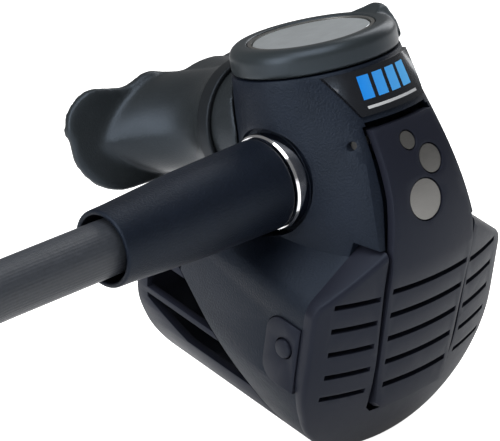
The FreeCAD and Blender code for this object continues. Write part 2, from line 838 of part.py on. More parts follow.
def poppet_locknut():
    nut = prism("locknut form", hexagon(6.4), 2.2, (0, 0, LIFT - 24.9))
    return cut("poppet_locknut", nut, cylinder("locknut bore", d.stem_radius, 6.0, (0, 0, LIFT - 27)))


def valve_spring():
    return coil_spring("valve_spring", 3.4, 0.4, 1.45, 3.9, (0, 0, LIFT - 17.55))


def balance_plug():
    plug = [(0, 10.4), (4.9, 10.4), (4.9, 10.9), (3.5, 10.9), (3.5, 12.6), (4.95, 12.6)]
    flange = [(4.95, 14.0), (7.4, 14.0), (7.4, 15.4), (0, 15.4)]
    return turned("balance_plug", plug + flange, (0, 0, LIFT))


def balance_oring():
    return torus("balance_oring", 4.25, 0.7, (0, 0, LIFT + 11.75))


LEVER_REST = 30.3  # degrees from the seam's plane
LEVER_LENGTH = 20.0
LEVER_SHEET = 1.2
PIVOT_DROP = 21.7


def demand_lever():
    """A forked lever: pads under the barrel, two rails past the locknut, and a round foot on the plate."""
    turn = Rotation(Vector(1, 0, 0), 180 + TILT - LEVER_REST)
    pivot = LIFT - PIVOT_DROP
    half_sheet = LEVER_SHEET / 2
    parts = []
    for side in (-1, 1):
        parts.append(box(f"lever pad {side}", (2.0, 4.4, LEVER_SHEET), (side * 3.5, 0, pivot - half_sheet)))
        parts.append(cylinder(f"lever eye {side}", half_sheet, 1.0, (side * 4.8 - 0.5, 0, pivot), TO_RIGHT))
        rail = (1.0, LEVER_SHEET, LEVER_LENGTH - 6.0)
        parts.append(box(f"lever rail {side}", rail, (side * 4.8, 0, pivot), turn))
    reach = turn.multVec(Vector(0, 0, LEVER_LENGTH - 9.0))
    tip = turn.multVec(Vector(0, 0, LEVER_LENGTH))
    joint = (0, reach.y, pivot.value + reach.z)
    parts.append(box("lever bridge", (10.6, LEVER_SHEET, 3.0), joint, turn))
    parts.append(box("lever arm", (4.0, LEVER_SHEET, 9.0), joint, turn))
    parts.append(cylinder("lever foot", 1.2, 6.0, (-3, tip.y, pivot.value + tip.z), TO_RIGHT))
    return fuse("demand_lever", *parts)


def diaphragm():
    outline = [
        (0, -2.6), (16, -2.6), (18, -3.6), (21, -3.6), (22.8, -3.2), (d.diaphragm_radius, -3.2),
        (d.diaphragm_radius, -1.6), (22.8, -1.6), (22.8, -2.6), (21, -3.0), (18, -3.0), (16, -2.0), (0, -2.0),
    ]
    return turned("diaphragm", outline, seam_point(0, CENTRE, 0), SEAM)


def diaphragm_plate():
    outline = [(0, -3.6), (14, -3.6), (14, -2.9), (13.6, -2.7), (0, -2.7)]
    return turned("diaphragm_plate", outline, seam_point(0, CENTRE, 0), SEAM)


def diaphragm_ring():
    outer = d.diaphragm_radius - 0.8
    outline = [(22.9, -1.55), (outer, -1.55), (outer, 0.4), (22.9, 0.4)]
    return turned("diaphragm_ring", outline, seam_point(0, CENTRE, 0), SEAM)


def hinge_pin():
    half = 12.4
    at = (-half, -d.pin_forward, LIFT + d.pin_rise)
    return cylinder("purge_hinge_pin", d.pin_radius, half * 2, at, TO_RIGHT)


def purge_spring():
    at = (-5.0, -d.pin_forward.value, (LIFT + d.pin_rise).value)
    return coil_spring("purge_spring", 1.45, 0.25, 0.8, 10.0, at, TO_RIGHT)


def exhaust_valve():
    radius = d.exhaust_radius
    outline = [
        (0, -5.4), (2.3, -5.4), (2.3, -4.2), (1.3, -3.9), (1.3, 0.3),
        (radius, 0.3), (radius, 0.7), (3, 1.2), (0, 1.2),
    ]
    return turned("exhaust_valve", outline, (0, d.exhaust_y, EXHAUST_Z), EXHAUST)


# ---------------------------------------------------------------- mouthpiece


def mouthpiece():
    rise = LIFT + d.outlet_rise
    collar = outlet_prism("mouth collar", 17.6, 13.6, 12.0, 26.2)
    plans = [(17.6, 13.6, 26.0), (16.2, 12.0, 33.0), (19.6, 11.0, 41.0), (28.6, 9.4, 55.0)]
    flare = loft("mouth flare", [outlet_section(f"mouth plan {k}", *plan) for k, plan in enumerate(plans)])
    centre = (0, d.shield_y + d.shield_radius, rise - 20)
    curve = cut(
        "shield curve",
        cylinder("shield outer", d.shield_radius, 40.0, centre),
        cylinder("shield inner", d.shield_radius - 2.6, 40.0, centre),
    )
    tip = d.shield_half_width
    right = [(0.4, -10.6), Via(6.0, -9.9), (12.0, -9.9), Via(18.5, -10.4), (24.0, -10.9), Via(30.2, -7.6)]
    bottom = [(tip, -0.5), Via(29.2, 8.8), (20.5, 12.8), (0.0, 12.2), (-20.5, 12.8), Via(-29.2, 8.8)]
    lobe = [(-tip, -1.6), Via(-30.9, -10.2), (-25.0, -13.3), Via(-21.5, -12.4), (-17.6, -11.5)]
    left = [Via(-14.4, -12.0), (-12.2, -12.9), Via(-10.2, -13.3), (-8.0, -12.9), Via(-3.6, -11.4)]
    edge = right + bottom + lobe + left
    shield = common("shield", curve, prism("shield edge", edge, 40.0, (0, 38.0, rise), TO_DIVER))
    tabs = []
    for side in (-1, 1):
        tabs.append(box(f"tab {side}", (11.0, 15.0, 3.0), (side * 17.8, 57.5, rise - 1.5)))
        tabs.append(box(f"tab lip {side}", (11.0, 2.6, 9.0), (side * 17.8, 63.7, rise - 4.5)))
    behind = cylinder("shield middle", d.shield_radius - 1.3, 60.0, centre)
    tabs = [common(tab.Label + " trimmed", tab, behind) for tab in tabs]
    neck = cut("mouth neck", flare, behind)
    bores = [
        outlet_prism("mouth socket", d.outlet_half_width + 0.02, d.outlet_half_height + 0.02, 0.0, 25.1),
        outlet_prism("mouth bore", 11.6, 7.6, 20.0, 60.0),
        head("mouth collar room", 0.15),
        bell("mouth bell room", 1.0, -d.case_depth.value - 0.15, -0.15),
    ]
    return cut("mouthpiece", fuse("mouth whole", collar, neck, shield, *tabs), *bores)


def mouthpiece_clamp():
    band = outlet_prism("clamp band", 18.8, 14.8, 20.4, 24.6)
    lock = box("clamp lock", (7.5, 5.6, 5.0), (-8.0, 22.7, LIFT + d.outlet_rise - 18.2))
    room = outlet_prism("clamp room", 17.65, 13.65, 18.0, 28.0)
    rooms = [head("clamp head room", 0.15), bell("clamp bell room", 1.0, -d.case_depth.value - 0.15, -0.15)]
    return cut("mouthpiece_clamp", fuse("clamp whole", band, lock), room, *rooms)


# ---------------------------------------------------------------- hose and its fittings


def hose_sleeve():
    start, end = d.sleeve_start, d.sleeve_end
    outline = [
        (9.0, start), (d.sleeve_radius - 0.3, start), (d.sleeve_radius, start + 0.5),
        (d.sleeve_end_radius + 0.35, end - 1.6), Via(d.sleeve_end_radius, end - 0.4), (8.4, end),
        (d.sleeve_bore, end - 0.5), (d.sleeve_bore, 38.5), (9.0, 38.5),
    ]
    return turned("hose_sleeve", outline, (0, 0, LIFT), TO_HOSE)


def inlet_collar():
    outline = [(7.1, 18.1), (10.9, 18.1), (11.3, 18.6), (11.3, 21.8), (10.9, 22.3), (7.1, 22.3)]
    return turned("inlet_collar", outline, (0, 0, LIFT), TO_HOSE)


def inlet_tube():
    outline = [(2.5, 17.1), (7.0, 17.1), (7.0, 34.0), (2.5, 34.0)]
    return turned("inlet_tube", outline, (0, 0, LIFT), TO_HOSE)


def inlet_oring():
    return torus("inlet_oring", 7.95, 0.88, (-17.1, 0, LIFT), TO_HOSE)


def swivel_nut():
    outline = [(7.05, 22.6), (8.8, 22.6), (8.8, 37.0), (3.0, 37.0), (3.0, 34.2), (7.05, 34.2)]
    return turned("swivel_nut", outline, (0, 0, LIFT), TO_HOSE)


def hose_ferrule():
    radius, end = d.ferrule_radius, d.ferrule_end
    outline = [(2.5, 37.1), (7.0, 37.1), (radius, 38.6), (radius, end - 0.6), (radius - 0.5, end), (2.5, end)]
    return turned("hose_ferrule", outline, (0, 0, LIFT), TO_HOSE)


def side_plug():
    spigot = [(0, 17.1), (7.0, 17.1), (7.0, 18.6)]
    cap = [(10.2, 18.6), (10.2, 21.4), (9.6, 22.2), (3.2, 22.2), (3.2, 20.0), (0, 20.0)]
    return turned("side_plug", spigot + cap, (0, 0, LIFT), TO_RIGHT)


def side_plug_oring():
    return torus("side_plug_oring", 7.95, 0.75, (17.72, 0, LIFT), TO_RIGHT)


FLOOR_LINE = 6.45  # height of the hose's axis where it lies on the floor
YAW = 28.0  # degrees that the hose has turned to the front when it meets its coil
ROUTE = [
    (-56.0, 0.0, 68.8),
    (-118.0, 0.0, 68.8),
    (-175.0, -30.3, FLOOR_LINE),
    (-228.0, -58.5, FLOOR_LINE),
]
COIL_END = -148.0  # the direction from the coil's centre to the end of its upper turn
UPPER_TURN = 108.0


def rounded_path(points):
    """Straight runs joined by tangent arcs as large as their two runs allow."""
    points = [Vector(*p) for p in points]
    edges = []
    here = points[0]
    for before, corner, after in zip(points, points[1:], points[2:]):
        back, ahead = (before - corner), (after - corner)
        turn = math.pi - back.getAngle(ahead)
        reach = 0.45 * min(back.Length, ahead.Length)
        radius = reach / math.tan(turn / 2)
        start = corner + back.normalize() * reach
        end = corner + ahead.normalize() * reach
        middle = (start + end) * 0.5 - corner
        bulge = radius / math.cos(turn / 2) - radius
        edges.append(Part.LineSegment(here, start).toShape())
        edges.append(Part.Arc(start, corner + middle.normalize() * bulge, end).toShape())
        print(f"hose bend radius {radius:.1f} mm, turn {math.degrees(turn):.0f} degrees")
        here = end
    edges.append(Part.LineSegment(here, points[-1]).toShape())
    return Part.Wire(edges)


def hose_tube():
    path = rounded_path(ROUTE)
    radius = d.hose_radius.value
    ring = Part.Wire(Part.makeCircle(radius, Vector(*ROUTE[0]), Vector(1, 0, 0)))
    thing = add("Part::Feature", "hose_tube")
    thing.Shape = path.makePipeShell([ring], True, False)
    ideal = math.pi * radius**2 * path.Length
    print(f"hose tube {path.Length:.1f} mm long, volume {thing.Shape.Volume / ideal:.4f} of section x length")
    return thing


def coil_centre():
    x, y, z = ROUTE[-1]
    yaw = math.radians(YAW)
    radius = d.coil_radius.value
    return Vector(x - radius * math.sin(yaw), y + radius * math.cos(yaw), z)


def hose_coil():
    """A full turn on the floor, and part of a turn that climbs a little on top of it."""
    centre = coil_centre()
    low = torus("coil floor turn", d.coil_radius, d.hose_radius, tuple(centre))
    high = torus("coil upper turn", d.coil_radius, d.hose_radius)
    high.Angle3 = UPPER_TURN
    high.Placement = Placement(centre + Vector(0, 0, UPPER_LIFT), upper_turn())
    arc = UPPER_TURN / 360 * 2 * math.pi * d.coil_radius.value
    print(f"hose coil {2 * math.pi * d.coil_radius.value + arc:.1f} mm at least")
    return fuse("hose_coil", low, high)


UPPER_LIFT = 12.75
UPPER_TILT = 0.94


def upper_turn():
    """The upper turn's plane, highest at the hose's end, which is its zero direction."""
    heading = Rotation(Vector(0, 0, 1), COIL_END)
    return heading.multiply(Rotation(Vector(0, 1, 0), -UPPER_TILT))


def hose_end(distance=0.0):
    """A point on the hose's straight end, and its direction as a rotation of +Z."""
    heading = upper_turn().multVec(Vector(0, -1, 0))
    start = coil_centre() + Vector(0, 0, UPPER_LIFT) + upper_turn().multVec(Vector(d.coil_radius.value, 0, 0))
    return start + heading * distance, Rotation(Vector(0, 0, 1), heading)


def end_ferrule():
    at, turn = hose_end()
    outline = [(2.5, 0), (7.0, 0), (7.5, 0.6), (7.5, 20.5), (6.6, 22.0), (2.5, 22.0)]
    return turned("end_ferrule", outline, tuple(at), turn)


def first_stage_fitting():
    at, turn = hose_end(22.0)
    nut = prism("fitting hexagon", hexagon(14.3, 30.0), 7.5, tuple(at), turn)
    relief = [(0, 7.0), (4.25, 7.0), (4.25, 9.6)]
    crest = [(d.thread_radius, 9.6), (d.thread_radius, 17.6), (4.2, 18.2), (0, 18.2)]
    thread = turned("fitting thread", relief + crest, tuple(at), turn)
    bore = cylinder("fitting bore", 2.2, 30.0, tuple(at - turn.multVec(Vector(0, 0, 3))), turn)
    return cut("first_stage_fitting", fuse("fitting whole", nut, thread), bore)


def fitting_oring():
    at, turn = hose_end(22.0 + 8.5)
    return torus("fitting_oring", 5.2, 0.9, tuple(at), turn)


# ---------------------------------------------------------------- build, check and write

PIECES = (
    main_case,
    front_cover,
    exhaust_deflector,
    badge_plate,
    latch_plate,
    release_button,
    button_spring,
    purge_panel,
    panel_emblem,
    hinge_pin,
    purge_spring,
    knob_bezel,
    knob_ring,
    knob_disc,
    air_vane,
    knob_screw,
    knob_oring,
    valve_barrel,
    orifice_seat,
    seat_seal,
    poppet,
    poppet_locknut,
    valve_spring,
    balance_plug,
    balance_oring,
    demand_lever,
    diaphragm,
    diaphragm_plate,
    diaphragm_ring,
    exhaust_valve,
    mouthpiece,
    mouthpiece_clamp,
    inlet_collar,
    inlet_tube,
    inlet_oring,
    swivel_nut,
    hose_sleeve,
    hose_ferrule,
    side_plug,
    side_plug_oring,
    hose_tube,
    hose_coil,
    end_ferrule,
    first_stage_fitting,
    fitting_oring,
)


def main():
    made = [piece() for piece in PIECES]
    doc.recompute()
    failed = [o.Label for o in doc.Objects if {"Invalid", "Error"} & set(o.State)]
    if failed:
        raise RuntimeError(f"objects that didn't compute: {failed}")
    for thing in made:
        if thing.Shape.isNull() or not thing.Shape.isValid() or not thing.Shape.Solids:
            raise RuntimeError(f"{thing.Label} has no valid solid")
    os.makedirs("parts", exist_ok=True)
    home = Vector(d.knob_x.value, d.knob_y.value, 0)
    for thing in made:
        shape = thing.Shape.translated(home)
        print(f"{thing.Label}: {len(shape.Solids)} solid(s), {shape.Volume:.0f} cubic mm")
        shape.exportStep(os.path.join("parts", f"{thing.Label}.step"))


main()
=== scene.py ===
"""A scuba regulator's second stage on its coiled hose, dressed for rendering.

Lengths in the settings are in metres. Outlines and the places of lamps and camera are in millimetres from
the hub, the point where the air knob's axis crosses the hose's axis: +X to the diver's left, +Y to the diver
and +Z up the knob's axis.
"""

import json
import math

import bmesh
import bpy
from bpy.props import FloatProperty, FloatVectorProperty, PointerProperty
from bpy.types import Operator, Panel, PropertyGroup
from mathutils import Matrix, Vector


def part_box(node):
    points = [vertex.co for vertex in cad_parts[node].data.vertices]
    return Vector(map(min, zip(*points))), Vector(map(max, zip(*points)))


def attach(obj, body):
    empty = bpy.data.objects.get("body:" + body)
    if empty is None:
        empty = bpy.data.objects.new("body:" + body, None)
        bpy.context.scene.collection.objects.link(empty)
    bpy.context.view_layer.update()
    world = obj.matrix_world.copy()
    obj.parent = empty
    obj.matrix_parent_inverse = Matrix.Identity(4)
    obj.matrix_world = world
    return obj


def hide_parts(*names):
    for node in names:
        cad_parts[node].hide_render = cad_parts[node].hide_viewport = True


bl_info = {
    "name": "Scuba second stage",
    "version": (1, 0, 0),
    "blender": (4, 5, 0),
    "location": "View3D > Sidebar > Regulator",
    "description": "Builds the visible pieces and finishes of a scuba second stage on its hose",
    "category": "Object",
}

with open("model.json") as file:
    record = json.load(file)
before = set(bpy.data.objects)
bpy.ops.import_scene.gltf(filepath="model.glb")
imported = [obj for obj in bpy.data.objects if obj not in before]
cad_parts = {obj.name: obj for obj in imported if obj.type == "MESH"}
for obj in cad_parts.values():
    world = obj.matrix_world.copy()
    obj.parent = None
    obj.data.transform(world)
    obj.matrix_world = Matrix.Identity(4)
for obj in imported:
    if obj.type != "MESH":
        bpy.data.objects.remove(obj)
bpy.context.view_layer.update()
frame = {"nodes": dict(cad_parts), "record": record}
SLOTS = {row["node"]: row["material_slot"] for row in frame["record"]["subparts"]}

MM = 0.001
MERGE = 1e-6  # metres: points closer than this are one


def middle(node):
    """The middle of a CAD node's box."""
    low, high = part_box(node)
    return (low + high) / 2


KNOB = middle("knob_disc")
HUB = Vector((KNOB.x, KNOB.y, middle("inlet_collar").z))


def place(x, y, z):
    """A point given in millimetres from the hub."""
    return HUB + Vector((x, y, z)) * MM


# ---------------------------------------------------------------- settings


def colour(name, default, description):
    """A setting that holds a colour."""
    return FloatVectorProperty(
        name=name, description=description, default=default, subtype="COLOR", size=3, min=0, max=1
    )


def length(name, default, description):
    """A setting that holds a length in metres."""
    return FloatProperty(name=name, description=description, default=default, min=0, unit="LENGTH")


class ShellSettings(PropertyGroup):
    case_colour: colour("Case", (0.0045, 0.0065, 0.0120), "Sparked plastic of the case and the sleeve")
    cover_colour: colour("Cover", (0.0110, 0.0120, 0.0190), "Satin plastic of the cover and the panel")
    knob_colour: colour("Knob", (0.0175, 0.0215, 0.0235), "Smooth plastic of the knob's bezel")
    cell: length("Cell", 0.7 * MM, "Size of the cells in which the knob's and the rubber's edges are rounded")


class TrimSettings(PropertyGroup):
    metal_colour: colour("Metal", (0.20, 0.197, 0.19), "Satin metal of the emblem")
    disc_colour: colour("Disc", (0.78, 0.83, 0.86), "Brushed metal of the knob's disc")
    blue: colour("Blue", (0.005, 0.19, 0.62), "Printed blocks on the badge")
    chrome_colour: colour("Chrome", (0.86, 0.86, 0.88), "Plated collar and hose fittings")


class MouthpieceSettings(PropertyGroup):
    silicone: colour("Silicone", (0.0140, 0.0165, 0.0180), "Soft rubber of the mouthpiece")


class HoseSettings(PropertyGroup):
    rubber: colour("Rubber", (0.030, 0.034, 0.042), "Outer skin of the hose")
    radius: length("Radius", 6.35 * MM, "Radius of the hose")
    coil_radius: length("Coil radius", 70 * MM, "Radius at the middle of the coil's turns")


class StageSettings(PropertyGroup):
    floor_colour: colour("Floor", (0.90, 0.90, 0.90), "Paper that the regulator stands on")
    key_power: FloatProperty(name="Key", description="Power of the large lamp", default=5, unit="POWER")
    fill_power: FloatProperty(name="Fill", description="Power of the side lamps", default=2.5, unit="POWER")


SETTINGS = {
    "regulator_shell": ShellSettings,
    "regulator_trim": TrimSettings,
    "regulator_mouthpiece": MouthpieceSettings,
    "regulator_hose": HoseSettings,
    "regulator_stage": StageSettings,
}


# ---------------------------------------------------------------- finishes


SURFACE = [("Color", "NodeSocketColor"), ("Roughness", "NodeSocketFloat"), ("Height", "NodeSocketFloat")]


def new_group(name, inputs, outputs):
    """A shader node group with named sockets, returned with its two ends."""
    group = bpy.data.node_groups.new(name, "ShaderNodeTree")
    for label, kind, value in inputs:
        item = group.interface.new_socket(label, in_out="INPUT", socket_type=kind)
        if value is not None:
            item.default_value = value
    for label, kind in outputs:
        group.interface.new_socket(label, in_out="OUTPUT", socket_type=kind)
    return group, group.nodes.new("NodeGroupInput"), group.nodes.new("NodeGroupOutput")


def feed(group, socket, value):
    """Link an output to a socket, or set the socket to a plain value."""
    if hasattr(value, "is_output"):
        group.links.new(value, socket)
    else:
        socket.default_value = value


def noise(group, coordinates, scale, detail=3.0, roughness=0.6):
    """A cloud of values from 0 to 1."""
    node = group.nodes.new("ShaderNodeTexNoise")
    node.inputs["Detail"].default_value = detail
    node.inputs["Roughness"].default_value = roughness
    group.links.new(coordinates, node.inputs["Vector"])
    feed(group, node.inputs["Scale"], scale)
    return node.outputs["Fac"]


def math_node(group, operation, first, second):
    """One sum on two values or outputs."""
    node = group.nodes.new("ShaderNodeMath")
    node.operation = operation
    feed(group, node.inputs[0], first)
    feed(group, node.inputs[1], second)
    return node.outputs[0]


def remap(group, value, low, high, clamp=True):
    """A value of 0 to 1, carried to the range from low to high."""
    node = group.nodes.new("ShaderNodeMapRange")
    node.clamp = clamp
    group.links.new(value, node.inputs["Value"])
    node.inputs["To Min"].default_value = low
    node.inputs["To Max"].default_value = high
    return node.outputs["Result"]


def mixed(group, factor, first, second):
    """The first colour at a factor of 0, the second at 1."""
    node = group.nodes.new("ShaderNodeMix")
    node.data_type = "RGBA"
    # a Mix node's sockets for colours come after those for numbers and vectors
    for index, value in ((0, factor), (6, first), (7, second)):
        feed(group, node.inputs[index], value)
    return node.outputs[2]


def toned(group, colour, tone):
    """A colour multiplied by a tone."""
    node = group.nodes.new("ShaderNodeVectorMath")
    node.operation = "SCALE"
    group.links.new(colour, node.inputs[0])
    group.links.new(tone, node.inputs["Scale"])
    return node.outputs[0]


def put_out(group, end, colour, roughness, height):
    """Link a surface's three results to its group's end."""
    for (name, _), value in zip(SURFACE, (colour, roughness, height)):
        group.links.new(value, end.inputs[name])


def grain_group():
    """Moulded plastic: a fine sparked grain, slow mottling and faint handling marks."""
    group, start, end = new_group(
        "Moulded grain",
        [
            ("Vector", "NodeSocketVector", None),
            ("Color", "NodeSocketColor", (0.03, 0.03, 0.03, 1)),
            ("Grain Scale", "NodeSocketFloat", 2200),
            ("Roughness", "NodeSocketFloat", 0.5),
            ("Mottling", "NodeSocketFloat", 0.3),
        ],
        SURFACE,
    )
    vector = start.outputs["Vector"]
    fine = noise(group, vector, start.outputs["Grain Scale"], detail=2.0, roughness=0.55)
    slow = noise(group, vector, scale=70.0, detail=4.0)
    marks = noise(group, vector, scale=420.0, detail=6.0, roughness=0.75)
    spread, speck = [
        math_node(group, "MULTIPLY", start.outputs["Mottling"], math_node(group, "SUBTRACT", cloud, 0.5))
        for cloud in (slow, fine)
    ]
    tone = math_node(group, "ADD", 1.0, math_node(group, "ADD", spread, speck))
    worn = remap(group, marks, -0.08, 0.08, clamp=False)
    rough = math_node(group, "ADD", start.outputs["Roughness"], worn)
    put_out(group, end, toned(group, start.outputs["Color"], tone), rough, fine)
    return group


def brushed_group():
    """Satin metal: fine streaks along X under a slow cloud."""
    group, start, end = new_group(
        "Brushed streaks",
        [
            ("Vector", "NodeSocketVector", None),
            ("Color", "NodeSocketColor", (0.5, 0.5, 0.5, 1)),
            ("Roughness", "NodeSocketFloat", 0.35),
        ],
        SURFACE,
    )
    stretch = group.nodes.new("ShaderNodeMapping")
    stretch.inputs["Scale"].default_value = (0.04, 1.0, 1.0)
    group.links.new(start.outputs["Vector"], stretch.inputs["Vector"])
    streaks = noise(group, stretch.outputs["Vector"], scale=6000.0)
    cloud = noise(group, start.outputs["Vector"], scale=160.0)
    tone = remap(group, math_node(group, "MULTIPLY", streaks, cloud), 0.86, 1.3)
    rough = math_node(group, "ADD", start.outputs["Roughness"], remap(group, streaks, -0.07, 0.07))
    put_out(group, end, toned(group, start.outputs["Color"], tone), rough, streaks)
    return group


def hose_group():
    """Extruded rubber over a braid: the braid's crossing strands show faintly through the skin."""
    group, start, end = new_group(
        "Hose skin",
        [
            ("UV", "NodeSocketVector", None),
            ("Vector", "NodeSocketVector", None),
            ("Color", "NodeSocketColor", (0.03, 0.03, 0.03, 1)),
            ("Strands", "NodeSocketFloat", 26),
            ("Roughness", "NodeSocketFloat", 0.42),
        ],
        SURFACE,
    )
    parts = group.nodes.new("ShaderNodeSeparateXYZ")
    group.links.new(start.outputs["UV"], parts.inputs[0])
    crossings = []
    for slope in ("ADD", "SUBTRACT"):
        slant = math_node(group, slope, parts.outputs["X"], parts.outputs["Y"])
        turns = math_node(group, "MULTIPLY", slant, start.outputs["Strands"])
        crossings.append(math_node(group, "SINE", math_node(group, "MULTIPLY", turns, 2 * math.pi), 0.0))
    braid = math_node(group, "MULTIPLY", *crossings)
    mottle = noise(group, start.outputs["Vector"], scale=900.0, detail=5.0, roughness=0.7)
    relief = math_node(group, "ADD", math_node(group, "MULTIPLY", braid, 0.22), mottle)
    tone = remap(group, mottle, 0.62, 1.38)
    rough = math_node(group, "ADD", start.outputs["Roughness"], remap(group, mottle, -0.14, 0.14))
    put_out(group, end, toned(group, start.outputs["Color"], tone), rough, relief)
    return group


class Finish:
    """One material: a shader, the group that varies its surface, and the bump that the group drives."""

    def __init__(self, name, group, depth, **sockets):
        self.material = bpy.data.materials.new(name)
        self.material.use_nodes = True
        self.nodes, self.links = self.material.node_tree.nodes, self.material.node_tree.links
        self.shader = self.nodes["Principled BSDF"]
        for socket, value in sockets.items():
            self.shader.inputs[socket.replace("_", " ")].default_value = value
        self.coordinates = self.nodes.new("ShaderNodeTexCoord")
        self.effect = self.nodes.new("ShaderNodeGroup")
        self.effect.node_tree = group
        self.links.new(self.coordinates.outputs["Object"], self.effect.inputs["Vector"])
        self.links.new(self.effect.outputs["Color"], self.shader.inputs["Base Color"])
        self.links.new(self.effect.outputs["Roughness"], self.shader.inputs["Roughness"])
        bump = self.nodes.new("ShaderNodeBump")
        bump.inputs["Distance"].default_value = depth
        self.links.new(self.effect.outputs["Height"], bump.inputs["Height"])
        self.links.new(bump.outputs["Normal"], self.shader.inputs["Normal"])

    def vary(self, **values):
        """Give the group this material's own values; a colour gets its alpha here."""
        for name, value in values.items():
            if hasattr(value, "__len__"):
                value = (*value, 1)
            self.effect.inputs[name.replace("_", " ")].default_value = value
        return self


# The badge's print, in millimetres across from the hub and above it.
BARS_FROM, BARS_TO = -10.2, 5.4
BARS_LOW, BARS_HIGH = 15.9, 21.0
BAR_PITCH = 3.9
BAR_SHARE = 0.74  # of the pitch; the rest is the gap
BAR_LEAN = -0.16
LINE_LOW, LINE_HIGH = 13.9, 14.5
LINE_HALF = 7.6
PALE_BLUE = (0.09, 0.40, 0.78, 1)
LINE_GREY = (0.42, 0.43, 0.44, 1)


def blocks_group(trim):
    """Generic printed blocks: a row of leaning bars that fade to a paler tone, over a thin line."""
    group, start, end = new_group(
        "Printed blocks",
        [("Vector", "NodeSocketVector", None), ("Base", "NodeSocketColor", (0.004, 0.004, 0.005, 1))],
        [("Color", "NodeSocketColor")],
    )
    origin = group.nodes.new("ShaderNodeVectorMath")
    origin.operation = "SUBTRACT"
    origin.inputs[1].default_value = HUB
    group.links.new(start.outputs["Vector"], origin.inputs[0])
    parts = group.nodes.new("ShaderNodeSeparateXYZ")
    group.links.new(origin.outputs[0], parts.inputs[0])
    across = math_node(group, "DIVIDE", parts.outputs["X"], MM)
    rise = math_node(group, "DIVIDE", parts.outputs["Z"], MM)

    def between(value, low, high):
        above = math_node(group, "GREATER_THAN", value, low)
        return math_node(group, "MULTIPLY", above, math_node(group, "LESS_THAN", value, high))

    leaning = math_node(group, "ADD", across, math_node(group, "MULTIPLY", rise, BAR_LEAN))
    pitches = math_node(group, "DIVIDE", math_node(group, "ADD", leaning, -BARS_FROM), BAR_PITCH)
    on_bar = math_node(group, "LESS_THAN", math_node(group, "FRACT", pitches, 0.0), BAR_SHARE)
    bars = math_node(group, "MULTIPLY", between(leaning, BARS_FROM, BARS_TO), on_bar)
    bars = math_node(group, "MULTIPLY", bars, between(rise, BARS_LOW, BARS_HIGH))
    line = math_node(
        group, "MULTIPLY", between(rise, LINE_LOW, LINE_HIGH), between(across, -LINE_HALF, LINE_HALF)
    )
    fade = group.nodes.new("ShaderNodeMapRange")
    group.links.new(leaning, fade.inputs["Value"])
    fade.inputs["From Min"].default_value = BARS_FROM
    fade.inputs["From Max"].default_value = BARS_TO
    tone = mixed(group, fade.outputs["Result"], (*trim.blue, 1), PALE_BLUE)
    printed = mixed(group, bars, start.outputs["Base"], tone)
    group.links.new(mixed(group, line, printed, LINE_GREY), end.inputs["Color"])
    return group


def print_blocks(finish, trim):
    """Put the printed blocks between a finish's own tone and its shader."""
    blocks = finish.nodes.new("ShaderNodeGroup")
    blocks.node_tree = blocks_group(trim)
    finish.links.new(finish.coordinates.outputs["Object"], blocks.inputs["Vector"])
    finish.links.new(finish.effect.outputs["Color"], blocks.inputs["Base"])
    finish.links.new(blocks.outputs["Color"], finish.shader.inputs["Base Color"])


SHEEN = (0.66, 0.80, 1.0, 1.0)  # moulded black pieces shine slightly blue


def moulded_finishes(context):
    """Plastics, rubbers and lacquer."""
    shell = context.scene.regulator_shell
    silicone = context.scene.regulator_mouthpiece.silicone
    # finish, material, colour, roughness, scale of the grain, its depth in mm, mottling, specular level
    rows = (
        ("case_plastic", "sparked case plastic", shell.case_colour, 0.46, 2100, 0.12, 0.9, 0.20),
        ("cover_plastic", "satin cover plastic", shell.cover_colour, 0.42, 4200, 0.02, 0.15, 0.15),
        ("knob_plastic", "smooth knob plastic", shell.knob_colour, 0.36, 5000, 0.008, 0.10, 0.34),
        ("soft_rubber", "mouthpiece silicone", silicone, 0.38, 2600, 0.06, 0.7, 0.34),
        ("gloss_black", "badge lacquer", (0.004, 0.004, 0.005), 0.22, 3000, 0.002, 0.1, 0.5),
        ("band_plastic", "clamp band plastic", (0.008, 0.009, 0.010), 0.42, 2500, 0.02, 0.2, 0.24),
        ("seal_rubber", "seal rubber", (0.02, 0.02, 0.02), 0.45, 3000, 0.01, 0.2, 0.24),
        ("clear_silicone", "milky silicone", (0.45, 0.46, 0.44), 0.35, 2500, 0.01, 0.1, 0.24),
    )
    grain = grain_group()
    made = {}
    for key, name, tint, roughness, scale, depth, mottling, gloss in rows:
        finish = Finish(name, grain, depth * MM, Specular_IOR_Level=gloss, Specular_Tint=SHEEN)
        made[key] = finish.vary(Color=tint, Roughness=roughness, Grain_Scale=scale, Mottling=mottling)
    made["gloss_black"].shader.inputs["Coat Weight"].default_value = 0.5
    print_blocks(made["gloss_black"], context.scene.regulator_trim)
    return made


def metal_finishes(context):
    """Plated, brushed and turned metals."""
    trim = context.scene.regulator_trim
    # finish, material, colour, roughness, depth of the streaks in mm
    rows = (
        ("chrome", "plated brass", trim.chrome_colour, 0.10, 0.001),
        ("satin_metal", "satin emblem metal", trim.metal_colour, 0.42, 0.004),
        ("disc_metal", "brushed disc metal", trim.disc_colour, 0.38, 0.004),
        ("spring_steel", "spring wire", (0.5, 0.5, 0.52), 0.30, 0.004),
        ("brass", "turned brass", (0.60, 0.42, 0.17), 0.32, 0.004),
    )
    brushed = brushed_group()
    made = {}
    for key, name, tint, roughness, depth in rows:
        finish = Finish(name, brushed, depth * MM, Metallic=1.0)
        made[key] = finish.vary(Color=tint, Roughness=roughness)
    return made


def hose_finish(context):
    """The hose's rubber, whose braid follows the hose's own UV map."""
    finish = Finish("hose rubber", hose_group(), 0.12 * MM, Specular_IOR_Level=0.34)
    finish.links.new(finish.coordinates.outputs["UV"], finish.effect.inputs["UV"])
    return finish.vary(Color=context.scene.regulator_hose.rubber)


